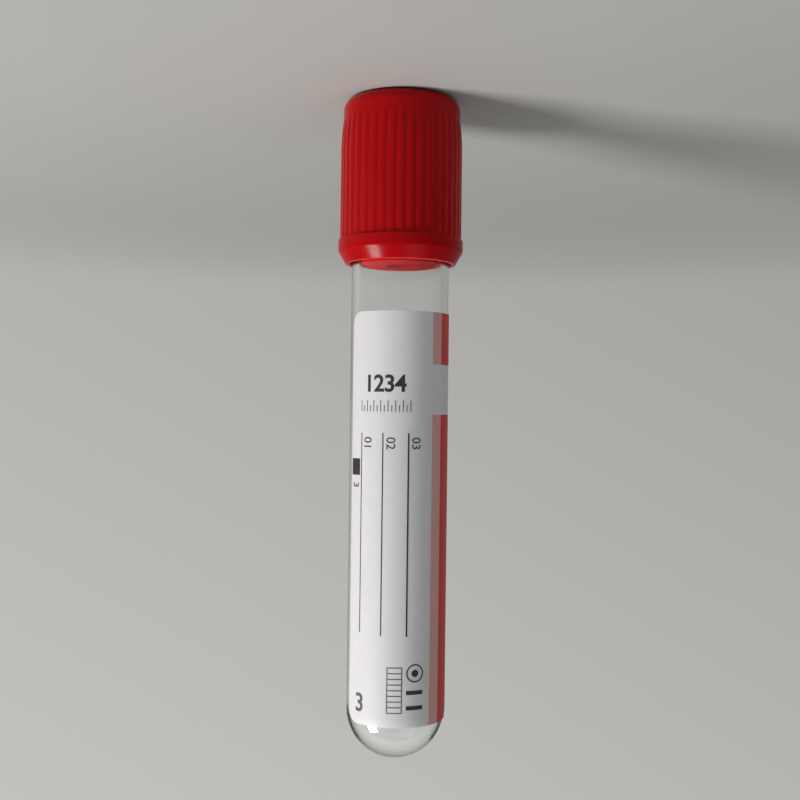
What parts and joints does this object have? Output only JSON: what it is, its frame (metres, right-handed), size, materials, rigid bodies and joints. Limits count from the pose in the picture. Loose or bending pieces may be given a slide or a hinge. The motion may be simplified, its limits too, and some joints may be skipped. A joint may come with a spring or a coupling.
{
  "type": "blood collection tube",
  "caption": "Clear round-bottomed sample tube with a wrapped paper label and a ribbed red cap over a rubber stopper that pulls off its mouth.",
  "frame": {"origin": "on the tube's axis, in the plane of the cap's flat top, which the tube stands on", "axes": "+Z along the tube's axis from the cap up to the round bottom, -Y out of the label's front, and the label's stripe towards -X."},
  "size_m": [0.0162, 0.0162, 0.0852],
  "materials": {
    "tube": "clear moulded plastic, polished",
    "label": "white coated label paper, printed",
    "cap": "red moulded plastic, satin",
    "stopper": "red rubber, smooth"
  },
  "bodies": {
    "barrel": {"tube": "tube", "label": "label"},
    "closure": {"cap": "cap", "stopper": "stopper"}
  },
  "joints": [
    {"name": "closure_pull", "type": "slide", "parent": "closure", "child": "barrel", "axis": [0, 0, 1], "range_m": [0, 0.03]}
  ]
}
